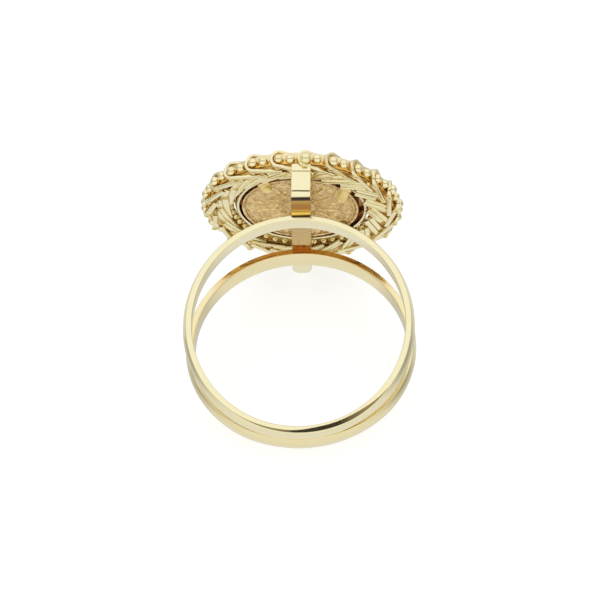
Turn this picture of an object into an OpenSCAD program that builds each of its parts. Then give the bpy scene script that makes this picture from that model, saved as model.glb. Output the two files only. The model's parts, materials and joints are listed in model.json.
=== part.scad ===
// Coin ring: two splayed bands, a bent strap, and a plaited border with granules round a small coin.
// Millimetres. The ring lies on its side: the finger hole points nearly up and the head is at +Y.

/* [Bands] */
// Inside diameter of the finger hole
finger_d = 17.5; // [15:0.1:21]
// Width of each band along the finger
band_w = 1.83; // [1.6:0.01:2]
// Thickness of a band at its edge
band_edge_t = 0.5; // [0.45:0.01:0.6]
// Height of the domed outside above the edge
band_dome = 0.27; // [0.2:0.01:0.35]
// Lean of the front band away from the middle plane, in degrees
front_splay = 8.1; // [7.5:0.1:9]
// Lean of the rear band away from the middle plane, in degrees
rear_splay = 8.3; // [7.5:0.1:9]
// Half of the arc over which the bands are soldered together, in degrees
solder_half_a = 26; // [18:1:32]

/* [Strap] */
// Width of the strap between the bands and the head
strap_w = 1.6; // [1.2:0.05:2]
// Thickness of the strap
strap_t = 0.42; // [0.35:0.01:0.5]
// Distance over the outsides of the strap's two legs
strap_span = 15.6; // [15.3:0.1:15.8]
// Outside radius of the strap's two bends
strap_bend_r = 0.8; // [0.6:0.05:1]
// How far the strap's underside lies outside the finger hole
strap_lift = 0.36; // [0.3:0.02:0.5]

/* [Head] */
// Height of the row of granules above the finger hole
head_rise = 3.2; // [3.1:0.05:3.5]
// Tip of the head towards the rear band, in degrees
head_tip = 3.6; // [2:0.1:4]
// Sideways lean of the head, in degrees
head_lean = 1.2; // [0:0.1:2]
// Number of loops in the plaited border
loops = 22; // [20:1:24]
// Radius of the circle on which the outer granules sit
granule_row_r = 7.9; // [7.8:0.05:8]
// Diameter of an outer granule
granule_d = 0.72; // [0.6:0.02:0.8]
// Height of a loop from its front leg to its back leg
loop_h = 1.5; // [1.3:0.05:1.6]
// Length of a loop from its round end to its tail
loop_l = 2.7; // [2.4:0.05:2.9]
// Width of the flat wire of a loop, seen from the back
loop_wire_w = 0.42; // [0.36:0.02:0.5]
// Thickness of that wire
loop_wire_t = 0.24; // [0.2:0.02:0.3]
// Length of a leaf strip
leaf_l = 2.9; // [2.5:0.05:3]
// Width of a leaf strip
leaf_w = 0.78; // [0.6:0.02:0.85]

/* [Coin and its setting] */
// Diameter of the coin
coin_d = 9.7; // [9.5:0.05:9.8]
// Thickness of the coin
coin_t = 1; // [0.8:0.05:1.1]
// Inside diameter of the collet
collet_in_d = 10.4; // [10.3:0.05:10.45]
// Wall of the collet
collet_wall = 0.33; // [0.3:0.01:0.35]
// Width of a tab that holds the coin from behind
tab_w = 1; // [0.8:0.05:1.2]
// Length of a tab over the coin
tab_l = 1.3; // [1.1:0.05:1.5]
// Clear gap between the coin and what holds it
coin_gap = 0.08; // [0.05:0.01:0.1]

/* [Hidden] */
$fn = 64;
eps = 0.02;

bore_r = finger_d / 2;
band_outer_r = bore_r + band_edge_t + band_dome;
// The bands are cut to the finger hole last, so they start with this much to spare inside
bore_spare = 0.3;
bore_cut_l = 30;
band_blank_t = 2;
solder_w = 0.8;
// The solder stays this far inside the bands' edges
solder_low = 0.06;
// Depth of the fine line inside, where the two bands meet
joint_line_h = 0.08;
joint_line_cut = 0.2;

head_h = bore_r + head_rise;
strap_z = bore_r + strap_lift;
strap_top_z = head_h;

// The border: a solid core between the inner bead ring and the loops
core_in_r = 6.12;
core_out_r = 7.66;
core_back_z = -0.46;
core_front_z = 0.5;
loop_mid_r = 7.52;
loop_round_x = -0.55;
loop_turn_in = 7.5;
loop_dip = 3;
// The granules of one loop stand this far either side of its middle, in degrees
granule_half_a = 3.1;
first_loop_a = -82;
loop_step = 360 / loops;

leaf_mid_r = 6.52;
leaf_t = 0.34;
leaf_turn_out = 20;
leaf_rise = 5;
leaf_z = 0.52;

bead_ring_r = 5.86;
bead_ring_d = 0.68;
bead_ring_n = 2 * loops;
bead_ring_z = 0.12;

// The coin's back lies this far below the row of granules
coin_back_z = -0.43;
coin_shift = [-0.1, 0.04];
coin_rim_w = 0.24;
coin_relief = 0.08;
coin_border_n = 48;
coin_border_r = 4.42;
coin_border_d = 0.2;
coin_boss_r = 1.1;
coin_rays = 16;
coin_ray_start_r = 1.5;
coin_ray_l = 2.6;
coin_ray_tip_l = 0.3;
coin_ray_w = 0.44;
coin_ray_foot_w = 0.2;

collet_out_r = collet_in_d / 2 + collet_wall;
// The raised rim of the coin's back stands this far proud of the collet
coin_proud = 0.08;
collet_back_z = coin_back_z - coin_relief + coin_proud;
collet_lip = 0.5;
collet_lip_t = 0.25;
collet_front_z = coin_back_z + coin_t + coin_relief + coin_gap + collet_lip_t;
tab_t = 0.2;
tab_z = coin_back_z - coin_relief - coin_gap - tab_t;
// The tabs rise off the coin towards their tips by this angle
tab_rise = 8;
tab_first_a = 45;
tabs = 4;

// Lying on its side, the ring touches the floor with the rear band's lowest corner and the strap's rear bend.
// Points are [y, z] in the upright ring.
function low_corner(side, splay) = [
    side * ((band_w - eps) * cos(splay) - band_edge_t * sin(splay)),
    -bore_r - (band_w - eps) * sin(splay) - band_edge_t * cos(splay)
];
rear_corner = low_corner(1, rear_splay);
bend_middle = [strap_span / 2 - strap_bend_r, strap_z + strap_bend_r];
touch_span = bend_middle - rear_corner;
lie_a = atan(touch_span[0] / touch_span[1]) + asin(strap_bend_r / norm(touch_span));

// The same point along Y and Z once the ring lies down
function lying_y(p) = p[0] * sin(lie_a) + p[1] * cos(lie_a);
function lying_z(p) = p[1] * sin(lie_a) - p[0] * cos(lie_a);
floor_z = lying_z(rear_corner);
rim_r = loop_mid_r + loop_wire_w / 2;
head_corner = [
    rim_r * cos(head_tip) + loop_h / 2 * sin(head_tip),
    head_h - rim_r * sin(head_tip) + loop_h / 2 * cos(head_tip)
];
middle_y = (lying_y(low_corner(-1, front_splay)) + lying_y(head_corner)) / 2;

// Upright is the ring's own frame: the finger's axis along Y and the head at +Z
module lay_down() {
    translate([0, -middle_y, -floor_z]) rotate([lie_a - 90, 0, 0]) children();
}

module at_head() {
    translate([0, 0, head_h]) rotate([-head_tip, head_lean, 0]) children();
}

module at_each_loop() {
    for (k = [0 : loops - 1]) {
        rotate([0, 0, first_loop_a + k * loop_step]) children();
    }
}

// Section of a band: flat inside, straight edges and a domed outside
module band_section() {
    dome_r = (pow(band_w / 2, 2) + pow(band_dome, 2)) / (2 * band_dome);
    intersection() {
        translate([bore_r - bore_spare, -band_w / 2]) square([band_blank_t, band_w]);
        translate([band_outer_r - dome_r, 0]) circle(r = dome_r, $fn = 128);
    }
}

// One band, leaning by the given angle about its lowest point; side is -1 in front and 1 at the rear
module leaning_band(side, splay) {
    color("khaki")
    translate([0, 0, -bore_r]) rotate([-side * splay, 0, 0])
        translate([0, side * (band_w / 2 - eps), bore_r])
        rotate([90, 0, 0]) rotate_extrude($fn = 180) band_section();
}

// Solder that joins the two bands along the bottom
module solder_seam() {
    color("goldenrod")
    rotate([90, 90 + solder_half_a, 0])
        rotate_extrude(angle = 2 * solder_half_a, $fn = 180)
        translate([bore_r - bore_spare, -solder_w / 2])
        square([bore_spare + band_edge_t - solder_low, solder_w]);
}

// V-shaped line round the finger hole, which shows where the two bands are soldered together
module joint_line() {
    rotate([90, 0, 0]) rotate_extrude($fn = 180)
        translate([bore_r + joint_line_h, 0])
        polygon([[0, 0], [-joint_line_cut, joint_line_cut], [-joint_line_cut, -joint_line_cut]]);
}

module bands() {
    difference() {
        union() {
            leaning_band(-1, front_splay);
            leaning_band(1, rear_splay);
            solder_seam();
        }
        rotate([90, 0, 0]) cylinder(r = bore_r, h = bore_cut_l, center = true, $fn = 180);
        joint_line();
    }
}

// Outline of a cup with round corners, seen along X; half is its half width and base its lowest line
module cup_outline(half, base, corner_r) {
    for (s = [-1, 1]) {
        translate([s * (half - corner_r), base + corner_r]) circle(r = corner_r);
    }
    translate([-half, base + corner_r]) square([2 * half, strap_top_z - base - corner_r]);
    translate([corner_r - half, base]) square([2 * (half - corner_r), corner_r + eps]);
}

// One strip bent to a U: its flat bottom lies on both bands and its legs carry the head
module strap() {
    color("gold")
    translate([-strap_w / 2, 0, 0]) rotate([90, 0, 90]) linear_extrude(strap_w)
        difference() {
            cup_outline(strap_span / 2, strap_z, strap_bend_r);
            translate([0, strap_t + eps])
                cup_outline(strap_span / 2 - strap_t, strap_z, strap_bend_r - strap_t);
        }
}

// Outline with a flat face for each bead of the inner ring, at distance r from the middle
module beaded_outline(r) {
    corner_r = r / cos(180 / bead_ring_n);
    polygon([
        for (k = [0 : bead_ring_n - 1])
            corner_r * [cos((k + 0.5) * 360 / bead_ring_n), sin((k + 0.5) * 360 / bead_ring_n)]
    ]);
}

// Ring wall round the coin with a narrow lip over the coin's front
module collet() {
    color("gold")
    difference() {
        translate([0, 0, collet_back_z]) linear_extrude(collet_front_z - collet_back_z)
            beaded_outline(collet_out_r);
        translate([0, 0, collet_back_z - eps])
            cylinder(d = collet_in_d, h = collet_front_z - collet_lip_t - collet_back_z + eps, $fn = 128);
        translate([0, 0, collet_back_z])
            cylinder(d = collet_in_d - 2 * collet_lip, h = collet_front_z - collet_back_z + eps, $fn = 128);
    }
}

// Round-ended tongue bent over the coin's back
module tab() {
    color("gold")
    translate([collet_in_d / 2, 0, 0]) {
        translate([-eps, -tab_w / 2, tab_z])
            cube([collet_wall - eps, tab_w, collet_back_z - tab_z + tab_t]);
        translate([0, 0, tab_z]) rotate([0, -tab_rise, 0]) {
            translate([tab_w / 2 - tab_l, 0, 0]) cylinder(d = tab_w, h = tab_t);
            translate([tab_w / 2 - tab_l, -tab_w / 2, 0]) cube([tab_l - tab_w / 2, tab_w, tab_t]);
        }
    }
}

module core() {
    color("goldenrod")
    translate([0, 0, core_back_z]) linear_extrude(core_front_z - core_back_z)
        difference() {
            circle(r = core_out_r, $fn = 128);
            beaded_outline(core_in_r);
        }
}

// Flat wire bent to a hairpin that stands on the rim, with its round end behind and its tail tucked inwards
module loop_wire() {
    color("khaki")
    translate([loop_mid_r - loop_wire_w / 2, 0, 0]) rotate([-loop_dip, 0, loop_turn_in])
        rotate([90, 0, 90]) linear_extrude(loop_wire_w)
        translate([loop_round_x, 0])
        difference() {
            hairpin_outline(loop_h / 2, loop_l - loop_h / 2);
            hairpin_outline(loop_h / 2 - loop_wire_t, loop_l);
        }
}

module hairpin_outline(r, leg) {
    circle(r = r);
    translate([0, -r]) square([leg, 2 * r]);
}

// The two granules held in one loop
module granule_pair() {
    color("gold")
    for (s = [-1, 1]) {
        rotate([0, 0, s * granule_half_a]) translate([granule_row_r, 0, 0])
            rotate([0, 90, 0]) sphere(d = granule_d, $fn = 32);
    }
}

// Leaf strip of the inner row, which meets the loops' tails in a chevron
module leaf_strip() {
    color("khaki")
    translate([leaf_mid_r, 0, -leaf_z]) rotate([-leaf_rise, leaf_rise, -leaf_turn_out])
        cube([leaf_w, leaf_l, leaf_t], center = true);
}

module bead_ring() {
    color("gold")
    for (k = [0 : bead_ring_n - 1]) {
        rotate([0, 0, k * 360 / bead_ring_n]) translate([bead_ring_r, 0, bead_ring_z])
            rotate([0, 90, 0]) sphere(d = bead_ring_d, $fn = 32);
    }
}

module plaited_border() {
    core();
    at_each_loop() loop_wire();
    at_each_loop() leaf_strip();
    at_each_loop() mirror([0, 0, 1]) leaf_strip();
    at_each_loop() granule_pair();
}

// Everything that is soldered together
module ring_mount() {
    lay_down() {
        bands();
        strap();
        at_head() {
            collet();
            for (k = [0 : tabs - 1]) {
                rotate([0, 0, tab_first_a + k * 360 / tabs]) tab();
            }
            bead_ring();
            plaited_border();
        }
    }
}

// One tapered ray, widest near its pointed outer end
module coin_ray() {
    shoulder = coin_ray_l - coin_ray_tip_l;
    linear_extrude(coin_relief)
        polygon([
            [0, -coin_ray_foot_w / 2],
            [shoulder, -coin_ray_w / 2],
            [coin_ray_l, 0],
            [shoulder, coin_ray_w / 2],
            [0, coin_ray_foot_w / 2]
        ]);
}

// One face of the coin: a rim, a border of dots, rays and a round boss
module coin_relief_face() {
    difference() {
        cylinder(r = coin_d / 2, h = coin_relief, $fn = 128);
        translate([0, 0, -eps])
            cylinder(r = coin_d / 2 - coin_rim_w, h = coin_relief + 2 * eps, $fn = 128);
    }
    for (k = [0 : coin_border_n - 1]) {
        rotate([0, 0, k * 360 / coin_border_n]) translate([coin_border_r, 0, -eps])
            cylinder(d = coin_border_d, h = coin_relief, $fn = 16);
    }
    translate([0, 0, -eps]) cylinder(r = coin_boss_r, h = coin_relief + eps);
    for (k = [0 : coin_rays - 1]) {
        rotate([0, 0, (k + 0.5) * 360 / coin_rays]) translate([coin_ray_start_r, 0, -eps])
            coin_ray();
    }
}

// Loose coin behind the lip and the tabs
module coin() {
    color("darkkhaki")
    lay_down() at_head() translate([coin_shift[0], coin_shift[1], coin_back_z]) {
        cylinder(r = coin_d / 2, h = coin_t, $fn = 128);
        translate([0, 0, coin_t]) coin_relief_face();
        mirror([0, 0, 1]) coin_relief_face();
    }
}

ring_mount();
coin();
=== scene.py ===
import json
import math
import random

import bmesh
import bpy
import numpy as np
from mathutils import Matrix, Vector


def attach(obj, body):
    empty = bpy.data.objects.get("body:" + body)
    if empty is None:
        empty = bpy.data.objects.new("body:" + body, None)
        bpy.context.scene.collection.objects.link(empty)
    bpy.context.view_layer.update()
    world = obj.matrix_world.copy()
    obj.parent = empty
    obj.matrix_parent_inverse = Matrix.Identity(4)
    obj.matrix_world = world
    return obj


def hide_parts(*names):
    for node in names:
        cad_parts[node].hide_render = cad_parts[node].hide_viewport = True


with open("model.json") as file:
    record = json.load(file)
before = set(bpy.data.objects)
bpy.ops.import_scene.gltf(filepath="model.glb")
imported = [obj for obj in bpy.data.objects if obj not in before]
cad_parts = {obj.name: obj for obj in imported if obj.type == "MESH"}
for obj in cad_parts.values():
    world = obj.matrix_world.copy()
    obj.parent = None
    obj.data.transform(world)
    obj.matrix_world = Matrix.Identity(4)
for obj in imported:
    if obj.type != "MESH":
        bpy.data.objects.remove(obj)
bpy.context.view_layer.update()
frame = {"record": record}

# Sizes are in millimetres and angles in degrees.
# The upright ring has the finger's axis along Y, the front band at -Y and the head at +Z.
# In the head's own frame the row of granules is at Z 0 and the back faces -Z. Angles round the head
# start at the picture's right and pass its bottom.
MM = 0.001

# Bands
BORE_R = 17.5 / 2
BAND_W = 1.83
EDGE_T = 0.5
DOME = 0.25
BAND_OVERLAP = 0.02
INNER_CORNER_R = 0.12
FRONT_SPLAY = 8.1
REAR_SPLAY = 8.3
TOP_TILT = 6
BAND_STEPS = 360
JOINT_CORNER = 0.03

# Wear of the bands round a place near the bottom: what it adds to or takes off edges and domes
WEAR_MIDDLE_A = 11
WEAR_HALF_A = 46
WEAR_FULL_A = 16
FRONT_EDGE_MORE = 0.1
REAR_EDGE_LESS = 0.07
JOINT_LESS = 0.04
DOME_LESS = 0.03
FRONT_DOME_LESS = 0.1
BEVEL_A = 25
BEVEL_H = 0.22
BEVEL_MORE_H = 0.17
BEVEL_MORE_FROM_A = -5
BEVEL_MORE_TO_A = 12
LEAST_BEVEL_H = 0.03

# Solder along the bottom
SOLDER_HALF_A = 27
SOLDER_END_A = 5
SOLDER_REACH = 0.25
SOLDER_LOW = 0.06
SOLDER_HOLLOW = 0.03

# Head
HEAD_H = BORE_R + 3.2
HEAD_TIP = 3.6
HEAD_LEAN = 1.2

# Strap, with a fine line across each leg and a solder fillet at the front band
STRAP_W = 1.6
STRAP_T = 0.42
STRAP_SPAN = 15.6
STRAP_BEND_R = 0.8
STRAP_Z = BORE_R + 0.36
STRAP_TOP_Z = HEAD_H + 0.05
STRAP_EDGE_R = 0.08
STRAP_YAW = 1.9
STRAP_LINE_Z = 11.34
STRAP_LINE_W = 0.08
STRAP_LINE_DEPTH = 0.09
STRAP_STEP = 0.03
REAR_BEND_ROUNDING = 0.32
REAR_BEND_STARTS_Y = (6.2, 7.2)
REAR_BEND_ENDS_Z = (10.2, 9.5)
FILLET_Y = -4.38
FILLET_W = 0.25
FILLET_H = 0.3
HAMMER_DEPTH = 0.011
HAMMERED_FROM_Y = (-4.2, -3.4)
HAMMERED_TO_Y = (2.1, 1.5)

# Row of loops and granules
LOOPS = 22
LOOP_STEP = 360 / LOOPS
FIRST_LOOP_A = -82
LOOP_H = 1.5
LOOP_L = 3.35
LOOP_W = 0.36
LOOP_T = 0.25
LOOP_MID_R = 7.55
LOOP_ROUND_X = -0.55
LOOP_TURN_IN = 20
LOOP_DIP = 4
FRONT_LEG_MORE_W = 0.15
FRONT_LEG_IN = 0.12
ROUND_END_LESS_W = 0.05
ROW_OUT_SIDE = 0.1
ROW_IN_BOTTOM = 0.25
EYELET_R = 0.2
EYELET_WIRE_R = 0.065
EYELET_Y = 0.02
EYELET_FLOOR_HALF_T = 0.02
GRANULE_SEAT_R = 7.54
GRANULE_D = 0.78
GRANULE_HALF_A = 3.5
BIG_GRANULE_D = 0.96

# Leaves. What is added towards the picture's right is taken off towards its left, and the reverse.
LEAF_L = 2.9
LEAF_W = 1.0
LEAF_T = 0.18
LEAF_STEP = 0.3
LEAF_ARCH = 0.05
LEAF_CROWN = 0.03
LEAF_MID_R = 6.4
LEAF_Z = 0.56
LEAF_TURN_OUT = 26
LEAF_ROLL = 12
LEAF_PITCH = 4
LEAF_LESS_L_RIGHT = 0.7
LEAF_LESS_W_RIGHT = 0.1
LEAF_LESS_W_BOTTOM = 0.15
LEAF_MORE_TURN_RIGHT = 21
LEAF_LESS_TURN_BOTTOM = 8
LEAF_MORE_ROLL_RIGHT = 3
LEAF_IN_RIGHT = 0.05
LEAF_OUT_BOTTOM = 0.12
STRIP_GAP = 0.024
STRIP_CORNER_R = 0.045

# Core of the border, the walls behind the granules and the bead ring
CORE_IN_R = 6.12
CORE_OUT_R = 7.72
SEAT_IN_R = 7.4
CORE_BACK_Z = -0.42
CORE_FRONT_Z = 0.46
BACKING_MORE_Z = 0.2
BEAD_RING_R = 5.84
BEAD_RING_D = 0.64
BEAD_RING_OUT = 0.09
BEAD_RING_MORE_RIGHT = 0.35
BEAD_RING_N = 2 * LOOPS
BEAD_RING_Z = -0.14

# Coin, a little off the middle of its loose setting
COIN_R = 9.71 / 2
COIN_T = 0.78
COIN_BACK_Z = -0.21
COIN_SHIFT = (-0.12, -0.06)
COIN_EDGE_R = 0.03
COIN_RIM_W = 0.24
COIN_RELIEF = 0.1
COIN_DOTS = 48
COIN_DOT_ROW_R = 4.42
COIN_RAYS = 16
COIN_RAY_START_R = 1.5
COIN_RAY_L = 2.6
COIN_BOSS_R = 1.1
COIN_WAVES = 60
COIN_BACK_WEAR = 0.07
COIN_FRONT_WEAR = 0.03
COIN_GAP = 0.08

# Setting
COLLET_IN_R = 10.42 / 2
COLLET_WALL = 0.33
COLLET_RIM_W = 0.22
COLLET_LIP = 0.58
COLLET_LIP_T = 0.25
COLLET_BACK_Z = COIN_BACK_Z - 0.03
COLLET_FRONT_Z = COIN_BACK_Z + COIN_T + COIN_RELIEF + COIN_GAP + COLLET_LIP_T
TAB_W = 1.1
TAB_T = 0.2
TAB_BEND_R = 0.14
TAB_LEAST_HALF_W = 0.03
TAB_Z = COIN_BACK_Z - COIN_RELIEF - COIN_GAP - TAB_T / 2
# Angle round the coin, length, rise off the coin and turn aside of each tab
TABS = ((-44, 1.15, 30, 22), (-124, 0.85, 20, -8), (45, 1.15, 12, 0), (135, 1.15, 12, 0))

# Edges sharper than these angles stay sharp, on walls, on bent strips and on round pieces
WALL_SHARP_A = 32
STRIP_SHARP_A = 50
ROUND_SHARP_A = 60

# Colours
PALE_GOLD = (0.94, 0.86, 0.56)
# The next two colours are laid into recesses: painted shade, partly dirt.
SHADE_AND_DIRT_AMBER = (0.6, 0.31, 0.07)
WARM_SHADE_AND_DIRT_AMBER = (0.85, 0.55, 0.2)
REAR_GOLD = (0.93, 0.82, 0.49)
# Painted reflection on the rear band's front face.
REAR_REFLECTION_AMBER = (0.74, 0.41, 0.1)
COIN_PALE = (1.0, 0.8, 0.42)
COIN_TAN = (0.86, 0.65, 0.32)
COIN_BROWN = (0.55, 0.34, 0.12)
# Laid into the coin's hollows: painted shade, partly dirt.
COIN_SHADE_AND_DIRT = (0.45, 0.24, 0.08)
# Painted reflections, highlight and shadow on the strap's underside, with some fire stain near the
# solder.
STRAP_REFLECTION_BLACK = (0.04, 0.02, 0.01)
STRAP_REFLECTION_AND_STAIN_BROWN = (0.42, 0.18, 0.01)
STRAP_HIGHLIGHT_GOLDEN = (0.82, 0.56, 0.1)
# Tones painted on the strap's underside at places along the finger's axis, from the front to the rear:
# painted reflections with a painted highlight, painted shadow at the front solder, and some fire stain
# near the solder
STRAP_REFLECTION_SHADOW_AND_STAIN_TONES = (
    (-7.4, PALE_GOLD),
    (-7.27, STRAP_REFLECTION_BLACK),
    (-6.88, STRAP_REFLECTION_BLACK),
    (-6.7, (0.6, 0.36, 0.05)),
    (-5.9, STRAP_REFLECTION_AND_STAIN_BROWN),
    (-5.15, STRAP_REFLECTION_AND_STAIN_BROWN),
    (-5.0, (0.62, 0.46, 0.16)),
    (-4.82, (0.5, 0.25, 0.03)),
    (-4.7, STRAP_HIGHLIGHT_GOLDEN),
    (-4.57, STRAP_HIGHLIGHT_GOLDEN),
    # Painted shadow where the strap meets the solder at the front band.
    (-4.5, (0.03, 0.015, 0.005)),
    (-3.0, (0.05, 0.03, 0.01)),
    (-2.3, (0.6, 0.42, 0.16)),
    (1.6, (0.66, 0.46, 0.18)),
    (2.1, (0.46, 0.21, 0.05)),
    (4.6, (0.4, 0.18, 0.04)),
    (5.6, PALE_GOLD),
)
# Heights up the rear band between which its front face turns amber, a painted reflection of the gold in
# front of it
REAR_REFLECTION_FROM_Z = 5
REAR_REFLECTION_TO_Z = 7.6
FINE_BUMP = 0.02 * MM

# Light. Height counts upwards and sideways to the right from the camera's direction.
SIDE_LIGHT = 0.57
SIDE_FROM = 52
SIDE_SOFT = 16
SIDE_PART_BELOW = 0.35
LOWEST = -190
LOW_LIGHT = 0.86
LOW_FROM = -75
FAR_LOW_FROM = -115
FAR_LOW_DIM = 0.05
BEHIND_DIM = 0.25
# Dark gap between the panels: its heights, and the left end, right end, softness and depth of two steps
GAP_HEIGHTS = (-7, 7)
GAP_SOFT = 2.5
GAP_STEPS = ((-58, 58, 14, 0.68), (-7, 12, 3, 0.88))
GAP_COLOUR = (1, 0.8, 0.52)
PANEL_COLOUR = (1, 0.995, 0.985)

# Floor, with its half size in metres
FLOOR_HALF = 1.5
FLOOR_GREY = 0.45
FLOOR_GLOW = 0.72

# Camera, in the upright ring's frame
CAMERA_AZIMUTH = 2.7
CAMERA_BELOW = 24.7
CAMERA_ROLL = 0.8
CAMERA_DISTANCE = 500
CAMERA_LENS = 364.5
CAMERA_AIM = (-0.04, 0.0, 3.32)
# The middle of the finger hole's wall lies this far behind the ring's middle plane
WALL_MIDDLE_Y = 0.0315

rng = random.Random(7)


def ring_frame():
    """Matrix from the upright ring, in millimetres, to the row frame, in metres."""
    mount = [m for m in frame["record"]["mounts"] if m["name"] == "finger_hole"][0]
    y_axis = -Vector(mount["axis"]).normalized()
    x_axis = Vector((1, 0, 0))
    z_axis = x_axis.cross(y_axis)
    origin = Vector(mount["pos_m"]) - y_axis * WALL_MIDDLE_Y * MM
    turn = Matrix((x_axis, y_axis, z_axis)).transposed().to_4x4()
    return Matrix.Translation(origin) @ turn @ Matrix.Scale(MM, 4)


RING = ring_frame()
HEAD = (
    RING
    @ Matrix.Translation((0, 0, HEAD_H))
    @ Matrix.Rotation(math.radians(HEAD_LEAN), 4, "Y")
    @ Matrix.Rotation(math.radians(-HEAD_TIP), 4, "X")
)


# Points and meshes

def turn_x(points, degrees):
    c, s = math.cos(math.radians(degrees)), math.sin(math.radians(degrees))
    x, y, z = points.T
    return np.column_stack([x, y * c - z * s, y * s + z * c])


def turn_y(points, degrees):
    c, s = math.cos(math.radians(degrees)), math.sin(math.radians(degrees))
    x, y, z = points.T
    return np.column_stack([x * c + z * s, y, z * c - x * s])


def turn_z(points, degrees):
    c, s = math.cos(math.radians(degrees)), math.sin(math.radians(degrees))
    x, y, z = points.T
    return np.column_stack([x * c - y * s, x * s + y * c, z])


def round_head(part, angle, out=0):
    """A part moved outwards and turned to an angle round the head's axis."""
    points, faces = part
    return turn_z(points + (out, 0, 0), angle), faces


def picture_sides(angle):
    """How far an angle round the head points to the picture's right, and to its bottom or 0."""
    a = math.radians(angle)
    return math.cos(a), max(0, math.sin(a))


def smoothstep(low, high, x):
    t = np.clip((x - low) / (high - low), 0, 1)
    return t * t * (3 - 2 * t)


def bell(x, middle, half_width):
    return math.exp(-((x - middle) / half_width) ** 2)


def directions(start, end, steps):
    """Unit vectors from start to end degrees, both ends included."""
    return [(math.cos(a), math.sin(a)) for a in np.radians(np.linspace(start, end, steps + 1))]


def arc(centre, radius, start, end, steps):
    """Points on an arc from start to end degrees, both ends included."""
    return [(centre[0] + radius * x, centre[1] + radius * y) for x, y in directions(start, end, steps)]


def tube(rings, closed_path):
    """Vertices and faces of rings of points joined one to the next; an open tube gets flat ends."""
    rings = np.asarray(rings, float)
    n, m = rings.shape[:2]
    faces = []
    for i in range(n if closed_path else n - 1):
        j = (i + 1) % n
        for k in range(m):
            following = (k + 1) % m
            faces.append((i * m + k, i * m + following, j * m + following, j * m + k))
    if not closed_path:
        faces.append(tuple(reversed(range(m))))
        faces.append(tuple(range((n - 1) * m, n * m)))
    return rings.reshape(-1, 3), faces


def lathe(profile, steps):
    """Closed outline of (radius, z) turned about Z."""
    rings = []
    for a in np.radians(np.arange(steps) * 360 / steps):
        rings.append([(r * math.cos(a), r * math.sin(a), z) for r, z in profile])
    return tube(rings, True)


def rounded_box(half_w, half_t, corner, steps=3, spans=1):
    """Outline of a flat strip as (across, through), with round corners; spans divides its outer face."""
    points = []
    for sx, sy, start in ((1, 1, 0), (-1, 1, 90), (-1, -1, 180), (1, -1, 270)):
        centre = (sx * (half_w - corner), sy * (half_t - corner))
        points += arc(centre, corner, start, start + 90, steps)
        if start == 0:
            points += [((half_w - corner) * (1 - 2 * i / spans), half_t) for i in range(1, spans)]
    return np.array(points)


def sphere(centre, radius, segments=20, rings=12):
    """Ball with tiny flat poles along X."""
    loops = []
    for a in np.linspace(0.04, math.pi - 0.04, rings):
        ring = []
        for b in np.arange(segments) * 2 * math.pi / segments:
            ring.append((math.cos(a), math.sin(a) * math.cos(b), math.sin(a) * math.sin(b)))
        loops.append(ring)
    points, faces = tube(loops, False)
    return points * radius + centre, faces


def joined(parts):
    """One set of vertices and faces from several."""
    points, faces, start = [], [], 0
    for p, f in parts:
        points.append(p)
        faces += [tuple(i + start for i in face) for face in f]
        start += len(p)
    return np.vstack(points), faces


def fix_normals(mesh):
    work = bmesh.new()
    work.from_mesh(mesh)
    bmesh.ops.recalc_face_normals(work, faces=work.faces)
    work.to_mesh(mesh)
    work.free()


def make_piece(name, parts, matrix, material, sharp_a, node="ring_mount"):
    points, faces = joined(parts)
    mesh = bpy.data.meshes.new(name)
    mesh.from_pydata(points.tolist(), [], faces)
    mesh.transform(matrix)
    fix_normals(mesh)
    mesh.shade_smooth()
    mesh.set_sharp_from_angle(angle=math.radians(sharp_a))
    mesh.materials.append(material)
    piece = bpy.data.objects.new(name, mesh)
    bpy.context.scene.collection.objects.link(piece)
    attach(piece, "root")
    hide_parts(node)


# Bands

def band_section(outer_t, joint_t, dome, bevel_h):
    """Outline of a band as (radius, place across): flat inside, domed outside, one bevelled edge.

    The bevelled edge, turned away from the other band, is at positive places across.
    """
    half = BAND_W / 2
    low = BORE_R + INNER_CORNER_R
    high = BORE_R + outer_t
    inset = bevel_h * math.tan(math.radians(BEVEL_A))
    outline = arc((low, half - INNER_CORNER_R), INNER_CORNER_R, 180, 90, 6)
    outline.append((high - bevel_h - 0.02, half))
    for t in (0.03, 0.15, 0.5, 0.85, 0.97):
        outline.append((high - bevel_h * (1 - t), half - inset * t))
    for t in np.cos(np.linspace(0.12, math.pi - 0.12, 21)):
        edge_t = joint_t + (outer_t - joint_t) * (1 + t) / 2
        place = (half - inset) * t if t > 0 else half * t
        outline.append((BORE_R + edge_t + dome * (1 - t * t), place))
    outline.append((BORE_R + joint_t - JOINT_CORNER, -half))
    return outline + arc((low, INNER_CORNER_R - half), INNER_CORNER_R, 270, 180, 6)


def band_shape(side, a):
    """Section of a band at a degrees from the bottom, where the front band's outer edge is thicker."""
    wear = smoothstep(WEAR_HALF_A, WEAR_FULL_A, abs(a - WEAR_MIDDLE_A))
    front_wear = wear if side < 0 else 0
    bevel_h = BEVEL_H + BEVEL_MORE_H * smoothstep(BEVEL_MORE_FROM_A, BEVEL_MORE_TO_A, a)
    return band_section(
        EDGE_T + FRONT_EDGE_MORE * front_wear - REAR_EDGE_LESS * (wear - front_wear),
        EDGE_T - JOINT_LESS * wear,
        DOME - DOME_LESS * wear - FRONT_DOME_LESS * front_wear,
        LEAST_BEVEL_H + (bevel_h - LEAST_BEVEL_H) * front_wear,
    )


def rise_from_bottom(a):
    """Height of the finger hole's edge above its lowest point at a degrees from the bottom."""
    return BORE_R * (1 - math.cos(math.radians(a)))


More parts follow.
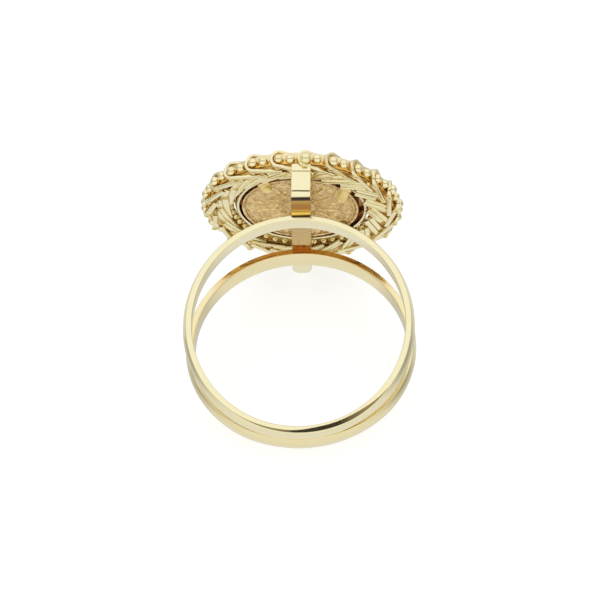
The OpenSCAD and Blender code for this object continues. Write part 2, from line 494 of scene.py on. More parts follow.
def band_middle(side, splay, a):
    """Middle of a band's inner face at a degrees from the bottom, and the tilt of its section."""
    rise = rise_from_bottom(a)
    lean = math.radians(splay)
    middle = Vector((
        BORE_R * math.sin(math.radians(a)),
        side * (BAND_W / 2 - BAND_OVERLAP + rise * math.sin(lean)),
        rise * math.cos(lean) - BORE_R,
    ))
    return middle, -math.radians(TOP_TILT) * (rise / (2 * BORE_R)) ** 2


def leaning_band(side, splay):
    """One band, leaning away from the other towards the top, where its section tilts as well."""
    rings = []
    for a in np.arange(BAND_STEPS) * 360 / BAND_STEPS - 180:
        middle, tilt = band_middle(side, splay, a)
        outward = Vector((math.sin(math.radians(a)), 0, -math.cos(math.radians(a))))
        across = Vector((0, side, 0))
        through = outward * math.cos(tilt) - across * math.sin(tilt)
        over = across * math.cos(tilt) + outward * math.sin(tilt)
        section = band_shape(side, a)
        rings.append([tuple(middle + through * (r - BORE_R) + over * w) for r, w in section])
    return tube(rings, True)


def solder_seam():
    """Solder between the bands along the bottom, with a hollow face outside and thin ends."""
    rings = []
    front_slope = math.tan(math.radians(FRONT_SPLAY))
    rear_slope = math.tan(math.radians(REAR_SPLAY))
    for a in np.linspace(-SOLDER_HALF_A, SOLDER_HALF_A, 61):
        rise = rise_from_bottom(a)
        half = rise * (front_slope + rear_slope) / 2 + SOLDER_REACH
        middle = rise * (rear_slope - front_slope) / 2
        thinner = 1 - smoothstep(0, SOLDER_END_A, SOLDER_HALF_A - abs(a))
        low = BORE_R + 0.03 + 0.2 * thinner
        high = BORE_R + EDGE_T - SOLDER_LOW - 0.22 * thinner
        across = np.linspace(-1, 1, 7)
        outside = [(high - SOLDER_HOLLOW * (1 - t * t), middle + half * t) for t in across]
        inside = [(low, middle + half * t) for t in reversed(across)]
        r, w = np.array(outside + inside).T
        direction = math.radians(a - 90)
        rings.append(np.column_stack([r * math.cos(direction), w, r * math.sin(direction)]))
    return tube(rings, False)


# Strap

def strap_path():
    """Middle line of the strap as (y, z) with its outward direction, from front top to rear top."""
    r = STRAP_BEND_R - STRAP_T / 2
    half = STRAP_SPAN / 2 - STRAP_T / 2
    corner_y, corner_z = half - r, STRAP_Z + STRAP_BEND_R

    def bend(side, start):
        turns = directions(start, start + 90, 16)
        return [((side * corner_y + r * y, corner_z + r * z), (y, z)) for y, z in turns]

    line = [((-half, z), (-1, 0)) for z in np.linspace(STRAP_TOP_Z, corner_z, 60)[:-1]]
    line += bend(-1, 180)
    line += [((y, corner_z - r), (0, -1)) for y in np.linspace(-corner_y, corner_y, 150)[1:-1]]
    line += bend(1, 270)
    line += [((half, z), (1, 0)) for z in np.linspace(corner_z, STRAP_TOP_Z, 60)[1:]]
    return line


def hammer_marks(across, y):
    waves = math.sin(9.1 * y + 2 * math.sin(4.3 * across + y))
    return waves * (0.6 + math.cos(8.5 * across + 1.7 * y))


def back_strap():
    """The strap, with a fine line across each leg, hammer marks between the bands and solder."""
    section = rounded_box(STRAP_W / 2, STRAP_T / 2, STRAP_EDGE_R, 3, 16)
    rings = []
    for (y, z), (ny, nz) in strap_path():
        above = smoothstep(STRAP_LINE_Z - 0.005, STRAP_LINE_Z + 0.005, z)
        sunk = STRAP_STEP * above + STRAP_LINE_DEPTH * bell(z, STRAP_LINE_Z, STRAP_LINE_W / 2)
        rounding = REAR_BEND_ROUNDING * smoothstep(*REAR_BEND_STARTS_Y, y)
        rounding *= smoothstep(*REAR_BEND_ENDS_Z, z)
        below = 1 if nz < -0.9 else 0
        solder = FILLET_H * bell(y, FILLET_Y, FILLET_W) * below
        marks = HAMMER_DEPTH * smoothstep(*HAMMERED_TO_Y, y) * smoothstep(*HAMMERED_FROM_Y, y) * below
        ring = []
        for across, through in section:
            out = through
            if through > 0:
                out += marks * hammer_marks(across, y)
                out += solder - sunk - rounding * abs(across / (STRAP_W / 2)) ** 4
            ring.append((across, y + out * ny, z + out * nz))
        rings.append(ring)
    points, faces = tube(rings, False)
    return turn_z(points, STRAP_YAW), faces


# Setting

def collet():
    """Ring wall with a narrow rim at the back and a lip over the coin's front."""
    in_r = COLLET_IN_R
    out_r = in_r + COLLET_WALL
    rim_r = in_r + COLLET_RIM_W
    lip_r = in_r - COLLET_LIP
    back, front = COLLET_BACK_Z, COLLET_FRONT_Z
    profile = [
        (in_r - 0.04, back + 0.05),
        (in_r - 0.02, back + 0.01),
        (in_r + 0.03, back - 0.01),
        (rim_r - 0.06, back - 0.01),
        (rim_r, back + 0.03),
        (out_r - 0.03, back + 0.2),
        (out_r, back + 0.3),
        (out_r, front - 0.12),
        (out_r - 0.06, front - 0.02),
        (out_r - 0.16, front),
        (lip_r + 0.1, front - 0.03),
        (lip_r, front - 0.12),
        (lip_r, front - 0.22),
        (lip_r + 0.04, front - COLLET_LIP_T),
        (in_r, front - COLLET_LIP_T),
    ]
    return lathe(profile, 180)


def tab_path(length, rise):
    """Middle line of a tab as (radius, z) with its outward direction, and where its bend ends."""
    wall_r = COLLET_IN_R + COLLET_WALL / 2
    top = TAB_Z + TAB_BEND_R
    path = [((wall_r, z), (1, 0)) for z in np.linspace(COLLET_BACK_Z + 0.1, top, 5)[:-1]]
    for r, z in directions(0, 90 + rise, 7):
        path.append(((wall_r - TAB_BEND_R + TAB_BEND_R * r, top - TAB_BEND_R * z), (r, -z)))
    (start_r, start_z), normal = path[-1]
    slope = math.radians(rise)
    for t in np.linspace(0, 1, 18)[1:]:
        reach = length * math.sin(t * math.pi / 2)
        path.append(((start_r - reach * math.cos(slope), start_z - reach * math.sin(slope)), normal))
    return path, start_r


def tab(angle, length, rise, aside):
    """Tongue that leaves the collet's wall, bends inwards and rises off the coin to a round end."""
    path, start_r = tab_path(length, rise)
    half = TAB_W / 2
    rings = []
    for (r, z), (nr, nz) in path:
        past = (start_r - r) / math.cos(math.radians(rise)) - (length - half)
        width = half
        if past >= 0:
            width = math.sqrt(max(half ** 2 - past ** 2, TAB_LEAST_HALF_W ** 2))
        section = rounded_box(width, TAB_T / 2, min(0.07, width * 0.8))
        shift = max(0, start_r - r) * math.tan(math.radians(aside))
        ring = [(r + through * nr, across + shift, z + through * nz) for across, through in section]
        rings.append(ring)
    return round_head(tube(rings, False), angle)


def coin_tabs():
    return [tab(*each) for each in TABS]


def bead_ring():
    """Beads between the collet and the border, standing further out at the left and right."""
    parts = []
    for k in range(BEAD_RING_N):
        angle = k * 360 / BEAD_RING_N
        radius = BEAD_RING_D / 2 * rng.uniform(0.94, 1.05)
        right, _ = picture_sides(angle)
        out = BEAD_RING_OUT * (1 + BEAD_RING_MORE_RIGHT * right) * right ** 4
        r = BEAD_RING_R + out + rng.uniform(-0.03, 0.03)
        ball = sphere((r, 0, BEAD_RING_Z + rng.uniform(-0.03, 0.03)), radius)
        parts.append(round_head(ball, angle))
    return parts


# Border

def ring_wall(in_r, out_r, back_z, front_z, corner):
    """Closed ring with a rectangular section and small chamfers."""
    profile = [
        (in_r, back_z + corner),
        (in_r + corner, back_z),
        (out_r - corner, back_z),
        (out_r, back_z + corner),
        (out_r, front_z - corner),
        (out_r - corner, front_z),
        (in_r + corner, front_z),
        (in_r, front_z - corner),
    ]
    return lathe(profile, 132)


def border_core():
    return ring_wall(CORE_IN_R, SEAT_IN_R + 0.06, CORE_BACK_Z + 0.02, CORE_FRONT_Z - 0.02, 0.02)


def granule_seat():
    """Outer wall behind the granules' back halves."""
    return ring_wall(SEAT_IN_R, CORE_OUT_R, CORE_BACK_Z + 0.06, 0.02, 0.06)


def granule_backing():
    """Outer wall behind the granules' front halves."""
    return ring_wall(SEAT_IN_R, CORE_OUT_R + 0.03, 0.0, CORE_FRONT_Z + BACKING_MORE_Z, 0.06)


def hairpin(height, length, front_rise):
    """Middle line of one loop as (along, z) with its outward direction; the round end is at -X."""
    r = height / 2 - LOOP_T / 2
    leg = length - height / 2
    line = [((x, -r), (0, -1)) for x in np.linspace(leg, 0, 9)]
    line += [((r * x, r * z), (x, z)) for x, z in directions(270, 90, 18)[1:-1]]
    line += [((x, r), (0, 1)) for x in np.linspace(0, leg, 11)]
    raised = []
    for (x, z), normal in line:
        bump = front_rise * bell(x, 0.1, 0.75) * smoothstep(-0.3, 0.6, z)
        raised.append(((x, z + bump), normal))
    return raised


def place_on_border(part, turn_in, dip):
    points, faces = part
    points = turn_x(points, -dip) + (0, LOOP_ROUND_X, 0)
    return turn_z(points, turn_in) + (LOOP_MID_R, 0, 0), faces


def loop_wire(height, length, front_rise, width):
    """Flat strip bent to a tall hairpin; its back leg is a straight bar with a square end."""
    rings = []
    for (x, z), (nx, nz) in hairpin(height, length, front_rise):
        in_front = smoothstep(0.1, 0.7, z)
        half = width / 2 + FRONT_LEG_MORE_W * in_front - ROUND_END_LESS_W * smoothstep(-0.1, -0.4, x)
        inner = FRONT_LEG_IN * in_front
        section = rounded_box(half, LOOP_T / 2, STRIP_CORNER_R, 2)
        ring = [(across - inner, x + through * nx, z + through * nz) for across, through in section]
        rings.append(ring)
    return tube(rings, False)


def eyelet(height):
    """Small wire ring on the back leg beside the round end, and the disc inside it."""
    middle = (0, EYELET_Y, -height / 2 - 0.01)
    wire = lathe(arc((EYELET_R, 0), EYELET_WIRE_R, 0, 315, 7), 20)
    circle = arc((0, 0), EYELET_R, 0, 337.5, 15)
    disc = tube([[(x, y, s * EYELET_FLOOR_HALF_T) for x, y in circle] for s in (1, -1)], False)
    return [(points + middle, faces) for points, faces in (wire, disc)]


def row_out(angle):
    """How far the row of loops lies outside its circle, at the sides, or inside it, at the bottom."""
    right, bottom = picture_sides(angle)
    return ROW_OUT_SIDE * right ** 4 - ROW_IN_BOTTOM * bottom ** 2


def border_loops():
    """The loops with their eyelets, and the discs in the eyelets."""
    loops, discs = [], []
    for k in range(LOOPS):
        height = LOOP_H * rng.uniform(0.95, 1.04)
        turn_in = LOOP_TURN_IN + rng.uniform(-2.5, 3)
        dip = LOOP_DIP + rng.uniform(-1.5, 1.5)
        width = LOOP_W * rng.uniform(0.92, 1.06)
        length = LOOP_L * rng.uniform(0.96, 1.05)
        front_rise = rng.uniform(0.06, 0.18)
        angle = FIRST_LOOP_A + k * LOOP_STEP
        shapes = [loop_wire(height, length, front_rise, width), *eyelet(height)]
        placed = [place_on_border(shape, turn_in, dip) for shape in shapes]
        wire, ring, disc = [round_head(shape, angle, row_out(angle)) for shape in placed]
        loops += [wire, ring]
        discs.append(disc)
    return loops, discs


def granules():
    """Two granules in each loop; the first is a little larger, and one of them stands out."""
    parts = []
    for k in range(LOOPS):
        for s, sizes in ((-1, (0.98, 1.1)), (1, (0.9, 1.02))):
            radius = GRANULE_D / 2 * rng.uniform(*sizes)
            if k == 0 and s < 0:
                radius = BIG_GRANULE_D / 2
            ball = sphere((GRANULE_SEAT_R + radius, 0, rng.uniform(-0.06, 0.06)), radius, 28, 16)
            angle = FIRST_LOOP_A + k * LOOP_STEP + s * GRANULE_HALF_A + rng.uniform(-0.4, 0.4)
            parts.append(round_head(ball, angle, row_out(angle)))
    return parts


def strip(start, end, middle, half, side):
    """Flat strip along Y with square ends and a low arch; side is -1 on the back and 1 in front."""
    rings = []
    for t in np.linspace(0, 1, 9):
        y = start + (end - start) * t
        arch = LEAF_ARCH * math.sin(math.pi * (y / LEAF_L + 0.5))
        ring = []
        for across, through in rounded_box(half, LEAF_T / 2, STRIP_CORNER_R, 2):
            crown = LEAF_CROWN * (1 - (across / half) ** 2)
            ring.append((middle + across, y, side * (through + arch + crown)))
        rings.append(ring)
    return tube(rings, False)


def leaf(length, width, turn_out, roll, pitch, side):
    """Two strips side by side whose outer ends are stepped."""
    quarter = width / 4
    steps = (0, -LEAF_STEP * rng.uniform(0.5, 1.3))
    if rng.random() < 0.4:
        steps = steps[::-1]
    parts = []
    for place, step in zip((-1, 1), steps):
        half = quarter - STRIP_GAP / 2
        points, faces = strip(-length / 2, length / 2 + step, place * quarter, half, side)
        points[:, 2] += side * rng.uniform(-0.03, 0.03)
        points = turn_y(points, side * (roll + rng.uniform(-3, 3)))
        points = turn_x(points, side * pitch)
        points = turn_z(points, -turn_out)
        parts.append((points + (LEAF_MID_R, 0, side * LEAF_Z), faces))
    return parts


def border_leaves(side):
    """Leaves all round: long and along the border at the left, short and pointing out at the right."""
    parts = []
    for k in range(LOOPS):
        angle = FIRST_LOOP_A + (k + 0.3) * LOOP_STEP
        right, bottom = picture_sides(angle)
        pair = leaf(
            (LEAF_L - LEAF_LESS_L_RIGHT * right) * rng.uniform(0.92, 1.06),
            (LEAF_W - LEAF_LESS_W_RIGHT * right - LEAF_LESS_W_BOTTOM * bottom) * rng.uniform(0.92, 1.06),
            LEAF_TURN_OUT + LEAF_MORE_TURN_RIGHT * right - LEAF_LESS_TURN_BOTTOM * bottom
            + rng.uniform(-4, 4),
            LEAF_ROLL + LEAF_MORE_ROLL_RIGHT * right + rng.uniform(-3, 3),
            LEAF_PITCH + rng.uniform(-2, 2),
            side,
        )
        out = LEAF_OUT_BOTTOM * bottom - LEAF_IN_RIGHT * right + rng.uniform(-0.05, 0.05)
        parts += [round_head(each, angle, out) for each in pair]
    return parts


# Coin

def from_nearest(a, step):
    """Angle between a and the nearest multiple of step."""
    return (a / step - np.round(a / step)) * step


def coin_height(r, a):
    """Relief of the coin's faces: a rim, a ring of dots, rays and a round boss, all worn soft."""
    rim_r = COIN_R - COIN_RIM_W
    rim = smoothstep(rim_r - 0.05, rim_r + 0.03, r)
    beside = from_nearest(a, 2 * math.pi / COIN_DOTS) * r
    dots = 1.1 * smoothstep(0.14 ** 2, 0.06 ** 2, (r - COIN_DOT_ROW_R) ** 2 + beside ** 2)
    ray_step = 2 * math.pi / COIN_RAYS
    across = np.abs(from_nearest(a - ray_step / 2, ray_step) * r)
    half = 0.1 + 0.12 * (r - COIN_RAY_START_R) / COIN_RAY_L
    end_r = COIN_RAY_START_R + COIN_RAY_L
    rays = 0.85 * smoothstep(half + 0.05, half - 0.05, across)
    rays *= smoothstep(COIN_RAY_START_R - 0.08, COIN_RAY_START_R + 0.05, r)
    rays *= smoothstep(end_r, end_r - 0.25, r)
    swell = np.cos(np.clip(r / COIN_BOSS_R, 0, 1) * math.pi / 2)
    boss = smoothstep(COIN_BOSS_R + 0.05, COIN_BOSS_R - 0.1, r) * (0.8 + 0.35 * swell)
    return np.maximum.reduce([rim, dots, rays, boss])


def coin_wear(x, y):
    """Unevenness of a worn face, from broad hollows down to fine knocks."""
    total = np.zeros_like(x)
    for i in range(COIN_WAVES):
        a = rng.uniform(0, 2 * math.pi)
        f = 0.9 * 1.05 ** i
        p = rng.uniform(0, 2 * math.pi)
        bend = 0.6 * np.sin(x * 0.7 + p) + 0.6 * np.cos(y * 0.9 - p)
        total += np.sin((x * math.cos(a) + y * math.sin(a)) * f + bend + p) / (1 + f * 0.35)
    return total * 0.1


def coin_face(relief, wear):
    """Rings of points of one face, from its middle to its edge."""
    radii = np.linspace(0.02, COIN_R - COIN_EDGE_R, 96)
    angles = np.arange(336) * 2 * math.pi / 336
    r, a = np.meshgrid(radii, angles, indexing="ij")
    x, y = r * np.cos(a), r * np.sin(a)
    z = relief * coin_height(r, a) + wear * coin_wear(x, y)
    return np.stack([x, y, z], axis=-1)


def coin():
    """The coin: its worn back, its edge and its front, which is less worn."""
    back = coin_face(COIN_RELIEF, COIN_BACK_WEAR)
    front = coin_face(1.2 * COIN_RELIEF, COIN_FRONT_WEAR)
    rings = [ring * (1, 1, -1) for ring in back]
    for z in np.linspace(0.02, COIN_T - 0.02, 7):
        ring = back[-1].copy()
        ring[:, :2] *= COIN_R / (COIN_R - COIN_EDGE_R)
        ring[:, 2] = z
        rings.append(ring)
    rings += [ring + (0, 0, COIN_T) for ring in reversed(front)]
    points, faces = tube(rings, False)
    return points + (*COIN_SHIFT, COIN_BACK_Z), faces


# Nodes

def new_material(name):
    material = bpy.data.materials.new(name)
    material.use_nodes = True
    tree = material.node_tree
    shader = tree.nodes["Principled BSDF"]
    return material, tree, shader


def object_point(tree):
    return tree.nodes.new("ShaderNodeTexCoord").outputs["Object"]


def surface_normal(tree):
    return tree.nodes.new("ShaderNodeTexCoord").outputs["Normal"]


def noise(tree, scale, detail, vector):
    node = tree.nodes.new("ShaderNodeTexNoise")
    node.inputs["Scale"].default_value = scale
    node.inputs["Detail"].default_value = detail
    tree.links.new(vector, node.inputs["Vector"])
    return node.outputs["Fac"]


def map_range(tree, value, low, high, to_low, to_high, interpolation="LINEAR"):
    node = tree.nodes.new("ShaderNodeMapRange")
    node.interpolation_type = interpolation
    ends = {"From Min": low, "From Max": high, "To Min": to_low, "To Max": to_high}
    for socket, number in ends.items():
        node.inputs[socket].default_value = number
    tree.links.new(value, node.inputs["Value"])
    return node.outputs["Result"]


def mix_colour(tree, factor, first, second):
    node = tree.nodes.new("ShaderNodeMix")
    node.data_type = "RGBA"
    tree.links.new(factor, node.inputs["Factor"])
    for socket, colour in ((node.inputs[6], first), (node.inputs[7], second)):
        if isinstance(colour, tuple):
            socket.default_value = (*colour, 1)
        else:
            tree.links.new(colour, socket)
    return node.outputs[2]


def math_node(tree, operation, first, second=None):
    node = tree.nodes.new("ShaderNodeMath")
    node.operation = operation
    for socket, value in zip(node.inputs, (first, second)):
        if value is None:
            continue
        if isinstance(value, (int, float)):
            socket.default_value = value
        else:
            tree.links.new(value, socket)
    return node.outputs[0]


def product(tree, first, second):
    return math_node(tree, "MULTIPLY", first, second)


def along(tree, direction, axis):
    node = tree.nodes.new("ShaderNodeVectorMath")
    node.operation = "DOT_PRODUCT"
    tree.links.new(direction, node.inputs[0])
    node.inputs[1].default_value = tuple(axis)
    return node.outputs["Value"]


def openness(tree, distance):
    """How open a point is: 1 on free faces and 0 deep in a recess."""
    node = tree.nodes.new("ShaderNodeAmbientOcclusion")
    node.samples = 6
    node.inputs["Distance"].default_value = distance
    return node.outputs["AO"]


def finish_metal(tree, shader, colour, rough_by, roughness, height, strength, depth=FINE_BUMP):
    """Metal of a colour, with roughness between two values by a noise, and a bump by a height."""
    shader.inputs["Metallic"].default_value = 1
    tree.links.new(colour, shader.inputs["Base Color"])
    rough = map_range(tree, rough_by, 0.3, 0.7, *roughness)
    tree.links.new(rough, shader.inputs["Roughness"])
    bump = tree.nodes.new("ShaderNodeBump")
    bump.inputs["Strength"].default_value = strength
    bump.inputs["Distance"].default_value = depth
    tree.links.new(height, bump.inputs["Height"])
    tree.links.new(bump.outputs["Normal"], shader.inputs["Normal"])


def ring_axis(*axis):
    return (RING.to_3x3() @ Vector(axis)).normalized()


def from_middle(tree, point, axis):
    """How far a point lies from the ring's middle along an axis, in metres."""
    return math_node(tree, "SUBTRACT", along(tree, point, axis), RING.translation.dot(axis))


# Materials

def gold(name, bright, deep, roughness, grain, recess, reach, mottle):
    """Gold with a fine grain, slow colour changes and a warmer, darker tone in the recesses: painted
    shade for the light that bounces between close faces, and partly dirt.

    The tone changes over the openness values in recess, seen as far as reach in metres.
    """
    material, tree, shader = new_material(name)
    point = object_point(tree)
    slow = noise(tree, 1400, 3, point)
    fine = noise(tree, 9000, 4, point)
    free_of_shade_and_dirt = map_range(tree, openness(tree, reach), *recess, 0, 1)
    darker = tuple(c * (1 - mottle) for c in bright[:2]) + (bright[2] * (1 - 1.8 * mottle),)
    tinted = mix_colour(tree, map_range(tree, slow, 0.35, 0.65, 0, 1), bright, darker)
    # Painted shade, partly dirt: the deep colour goes where the point is closed in.
    colour = mix_colour(tree, free_of_shade_and_dirt, deep, tinted)
    finish_metal(tree, shader, colour, fine, (roughness * 0.75, roughness * 1.3), fine, grain)
    return material


def rear_band_gold():
    """Polished gold whose front face turns amber towards the head, a painted reflection of the gold in
    front of it.
    """
    material, tree, shader = new_material("rear_band_gold")
    point = object_point(tree)
    height = from_middle(tree, point, ring_axis(0, 0, 1))
    facing = along(tree, surface_normal(tree), ring_axis(0, 1, 0))
    # Painted reflection: amber on the face turned to the front, high up the band.
    front = map_range(tree, facing, -0.75, -0.92, 0, 1)
    high = map_range(tree, height, REAR_REFLECTION_FROM_Z * MM, REAR_REFLECTION_TO_Z * MM, 0, 1)
    reflection_streaks = map_range(tree, noise(tree, 1500, 3, point), 0.35, 0.65, 0.75, 1)
    part = product(tree, product(tree, front, high), reflection_streaks)
    colour = mix_colour(tree, part, REAR_GOLD, REAR_REFLECTION_AMBER)
    fine = noise(tree, 7000, 4, point)
    finish_metal(tree, shader, colour, fine, (0.08, 0.13), fine, 0.12)
    return material


def strap_gold():
    """Polished gold that turns brown along the strap's underside towards the solder at the bands:
    painted reflections, highlight and shadow, with some fire stain near the solder.
    """
    material, tree, shader = new_material("strap_gold")
    point = object_point(tree)
    facing = along(tree, surface_normal(tree), ring_axis(0, 0, 1))
    below = map_range(tree, facing, -0.45, -0.65, 0, 1)
    place = product(tree, from_middle(tree, point, ring_axis(0, 1, 0)), 1 / MM)
    reflection_shadow_and_stain_ramp = tree.nodes.new("ShaderNodeValToRGB")
    stops = reflection_shadow_and_stain_ramp.color_ramp.elements
    for stop in stops:
        stop.color = (*PALE_GOLD, 1)
    for y, tone in STRAP_REFLECTION_SHADOW_AND_STAIN_TONES:
        stops.new(y / STRAP_SPAN + 0.5).color = (*tone, 1)
    scaled = map_range(tree, place, -STRAP_SPAN / 2, STRAP_SPAN / 2, 0, 1)
    tree.links.new(scaled, reflection_shadow_and_stain_ramp.inputs["Fac"])
    # Painted reflections and shadow, partly fire stain, on the faces turned down.
    colour = mix_colour(tree, below, PALE_GOLD, reflection_shadow_and_stain_ramp.outputs["Color"])
    fine = noise(tree, 7000, 4, point)
    finish_metal(tree, shader, colour, fine, (0.07, 0.12), fine, 0.1)
    return material


def worn_gold():
    """The coin's gold: mottled, browner in the hollows, which is painted shade and partly dirt, and a
    little darker towards the right.
    """
    material, tree, shader = new_material("coin_gold")
    point = object_point(tree)
    broad = noise(tree, 700, 5, point)
    patches = noise(tree, 3200, 6, point)
    fine = noise(tree, 12000, 4, point)
    pale = mix_colour(tree, map_range(tree, broad, 0.35, 0.65, 0, 1), COIN_PALE, COIN_TAN)
    to_right = map_range(tree, along(tree, point, ring_axis(1, 0, 0)), 0, 5 * MM, 0, 0.5)
    toned = mix_colour(tree, to_right, pale, COIN_TAN)
    mottled = mix_colour(tree, map_range(tree, patches, 0.42, 0.68, 0, 0.8), toned, COIN_BROWN)
    # Painted shade, partly dirt, in the coin's hollows.
    free_of_shade_and_dirt = map_range(tree, openness(tree, 0.18 * MM), 0.62, 0.96, 0, 1)
    colour = mix_colour(tree, free_of_shade_and_dirt, COIN_SHADE_AND_DIRT, mottled)
    height = math_node(tree, "ADD", patches, product(tree, fine, 0.3))
    finish_metal(tree, shader, colour, patches, (0.22, 0.36), height, 0.9, 0.06 * MM)
    return material


# Build

def build_ring():
    """All pieces; far, mid and near are distances over which the golds' openness is measured."""
    far, mid, near = 0.6 * MM, 0.4 * MM, 0.3 * MM
    # The second colour of each gold is painted shade, partly dirt, laid into its recesses.
    polished = gold("polished_gold", PALE_GOLD, SHADE_AND_DIRT_AMBER, 0.1, 0.12, (0.05, 0.35), far, 0.02)
    wire = gold("wire_gold", PALE_GOLD, WARM_SHADE_AND_DIRT_AMBER, 0.15, 0.3, (0.2, 0.6), near, 0.06)
    cast = gold("cast_gold", (1.0, 0.92, 0.6), WARM_SHADE_AND_DIRT_AMBER, 0.22, 0.3, (0.15, 0.55), near, 0.07)
    bead = gold("bead_gold", (0.98, 0.88, 0.56), SHADE_AND_DIRT_AMBER, 0.08, 0.1, (0.15, 0.5), near, 0.08)
    # The bead ring's olive gold is painted shade for the shadowed gap it sits in.
    shade_olive = gold("shaded_olive_gold", (0.94, 0.81, 0.44), (0.66, 0.42, 0.12), 0.2, 0.4, (0.15, 0.55), mid, 0.2)
    # The tabs' darker, browner gold is a painted reflection of the brown coin beneath them.
    tab_reflection = gold("tab_coin_reflection_gold", (0.94, 0.74, 0.36), (0.5, 0.26, 0.06), 0.16, 0.4, (0.3, 0.75), mid, 0.12)
    # The collet's dark brown in its recesses is painted shade on its inner wall.
    rim = gold("collet_gold", PALE_GOLD, (0.42, 0.18, 0.03), 0.13, 0.2, (0.55, 0.85), far, 0.05)
    # The core's darker gold is painted shade for the gaps between the leaves and loops.
    deep = gold("shaded_core_gold", (0.9, 0.66, 0.28), (0.7, 0.42, 0.12), 0.3, 0.4, (0.15, 0.6), mid, 0.2)
    # The amber gold of the granule seat and eyelet floors is painted shade for these recesses.
    amber = gold("shaded_amber_gold", (0.92, 0.6, 0.17), (0.5, 0.22, 0.03), 0.2, 0.4, (0.15, 0.6), mid, 0.25)
    peach = gold("peach_gold", (0.97, 0.82, 0.52), (0.88, 0.58, 0.22), 0.3, 0.4, (0.1, 0.45), mid, 0.1)
    make_piece("front_band", [leaning_band(-1, FRONT_SPLAY)], RING, polished, ROUND_SHARP_A)
    make_piece("rear_band", [leaning_band(1, REAR_SPLAY)], RING, rear_band_gold(), ROUND_SHARP_A)
    make_piece("solder_seam", [solder_seam()], RING, polished, WALL_SHARP_A)
    make_piece("back_strap", [back_strap()], RING, strap_gold(), ROUND_SHARP_A)
    make_piece("collet", [collet()], HEAD, rim, WALL_SHARP_A)
    make_piece("coin_tabs", coin_tabs(), HEAD, tab_reflection, STRIP_SHARP_A)
    make_piece("bead_ring", bead_ring(), HEAD, shade_olive, ROUND_SHARP_A)
    make_piece("border_core", [border_core()], HEAD, deep, WALL_SHARP_A)
    make_piece("granule_seat", [granule_seat()], HEAD, amber, WALL_SHARP_A)
    make_piece("granule_backing", [granule_backing()], HEAD, peach, WALL_SHARP_A)
    loops, discs = border_loops()
    make_piece("border_loops", loops, HEAD, wire, STRIP_SHARP_A)
    # Painted shade inside the eyelets.
    make_piece("eyelet_floors", discs, HEAD, amber, WALL_SHARP_A)
    make_piece("back_leaves", border_leaves(-1), HEAD, cast, STRIP_SHARP_A)
    make_piece("front_leaves", border_leaves(1), HEAD, cast, STRIP_SHARP_A)
    make_piece("granules", granules(), HEAD, bead, ROUND_SHARP_A)
    make_piece("worn_coin", [coin()], HEAD, worn_gold(), ROUND_SHARP_A, "coin")


def camera_axes():
    """Right, up and towards-the-camera directions at the photo's view, in the row frame."""
    azimuth, below, roll = (math.radians(d) for d in (CAMERA_AZIMUTH, CAMERA_BELOW, CAMERA_ROLL))
    out = Vector((
        math.sin(azimuth) * math.cos(below),
        -math.cos(azimuth) * math.cos(below),
        -math.sin(below),
    ))
    right = Vector((0, 0, 1)).cross(out).normalized()
    up = out.cross(right)
    right, up = (
        right * math.cos(roll) + up * math.sin(roll),
        up * math.cos(roll) - right * math.sin(roll),
    )
    turn = RING.to_3x3().normalized()
    return turn @ right, turn @ up, turn @ out


def add_camera():
    right, up, out = camera_axes()
    data = bpy.data.cameras.new("camera")
    data.lens = CAMERA_LENS
    data.sensor_width = 36
    data.clip_start = 0.01
    data.clip_end = 10
    camera = bpy.data.objects.new("camera", data)
    bpy.context.scene.collection.objects.link(camera)
    turn = Matrix((right, up, out)).transposed().to_4x4()
    aim = RING @ Vector(CAMERA_AIM)
    camera.matrix_world = Matrix.Translation(aim + out * CAMERA_DISTANCE * MM) @ turn
    bpy.context.scene.camera = camera


def add_floor():
    """Pale floor; the polished metal reflects the even surroundings in its place."""
    mesh = bpy.data.meshes.new("floor")
    corners = [(x * FLOOR_HALF, y * FLOOR_HALF, 0) for x, y in ((-1, -1), (1, -1), (1, 1), (-1, 1))]
    mesh.from_pydata(corners, [], [(0, 1, 2, 3)])
    material, tree, shader = new_material("pale_floor")
    shader.inputs["Base Color"].default_value = (FLOOR_GREY, FLOOR_GREY, FLOOR_GREY, 1)
    shader.inputs["Roughness"].default_value = 0.9
    shader.inputs["Specular IOR Level"].default_value = 0.1
    shader.inputs["Emission Color"].default_value = (1, 1, 1, 1)
    shader.inputs["Emission Strength"].default_value = FLOOR_GLOW
    mesh.materials.append(material)
    floor = bpy.data.objects.new("floor", mesh)
    floor.visible_glossy = False
    bpy.context.scene.collection.objects.link(floor)


def in_degrees(tree, angle):
    return product(tree, angle, 180 / math.pi)


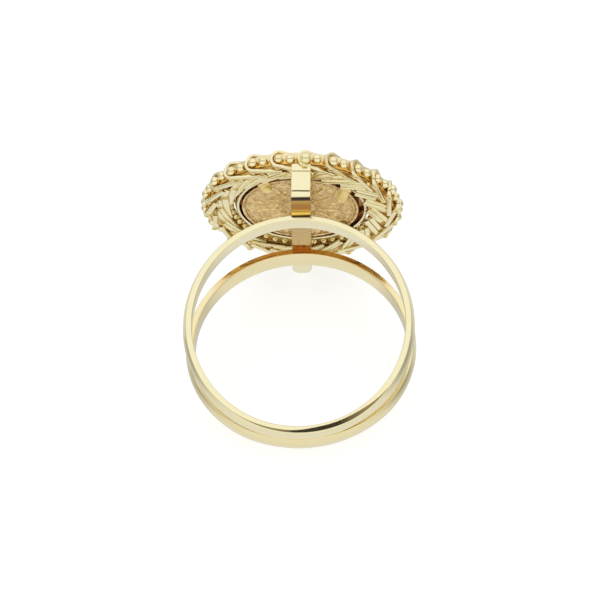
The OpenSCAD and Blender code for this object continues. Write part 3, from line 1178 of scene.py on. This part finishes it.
def zone(tree, value, low, high, soft):
    """1 where the value is between low and high and 0 elsewhere, with soft ends."""
    starts = map_range(tree, value, low - soft, low + soft, 0, 1, "SMOOTHSTEP")
    ends = map_range(tree, value, high + soft, high - soft, 0, 1, "SMOOTHSTEP")
    return product(tree, starts, ends)


def dimmed(tree, level, part, amount):
    """The level lowered by an amount where part is 1."""
    return product(tree, level, math_node(tree, "SUBTRACT", 1, product(tree, part, amount)))


def add_light():
    """Soft white surroundings, dimmer at the sides, with one dark gap between the white panels."""
    world = bpy.data.worlds.new("studio")
    bpy.context.scene.world = world
    world.use_nodes = True
    tree = world.node_tree
    direction = tree.nodes.new("ShaderNodeTexCoord").outputs["Generated"]
    rightwards, upwards, outwards = (along(tree, direction, axis) for axis in camera_axes())
    height = in_degrees(tree, math_node(tree, "ARCTAN2", upwards, outwards))
    sideways = in_degrees(tree, math_node(tree, "ARCSINE", rightwards))
    beside = math_node(tree, "SUBTRACT", 1, zone(tree, sideways, -SIDE_FROM, SIDE_FROM, SIDE_SOFT))
    above = map_range(tree, upwards, -0.6, -0.2, SIDE_PART_BELOW, 1)
    level = dimmed(tree, 1, product(tree, beside, above), 1 - SIDE_LIGHT)
    level = dimmed(tree, level, zone(tree, height, LOWEST, LOW_FROM, 4), 1 - LOW_LIGHT)
    colour = PANEL_COLOUR
    for start, end, soft, depth in GAP_STEPS:
        heights = zone(tree, height, *GAP_HEIGHTS, GAP_SOFT)
        gap = product(tree, heights, zone(tree, sideways, start, end, soft))
        level = dimmed(tree, level, gap, depth)
        colour = mix_colour(tree, gap, colour, GAP_COLOUR)
    behind = map_range(tree, outwards, -0.1, -0.5, 0, 1)
    raised = map_range(tree, upwards, -0.45, -0.2, 0, 1)
    level = dimmed(tree, level, product(tree, behind, raised), BEHIND_DIM)
    level = dimmed(tree, level, zone(tree, height, LOWEST, FAR_LOW_FROM, 8), FAR_LOW_DIM)
    background = tree.nodes["Background"]
    tree.links.new(level, background.inputs["Strength"])
    tree.links.new(colour, background.inputs["Color"])
    view = bpy.context.scene.view_settings
    view.view_transform = "Standard"
    view.look = "None"


build_ring()
add_floor()
add_camera()
add_light()
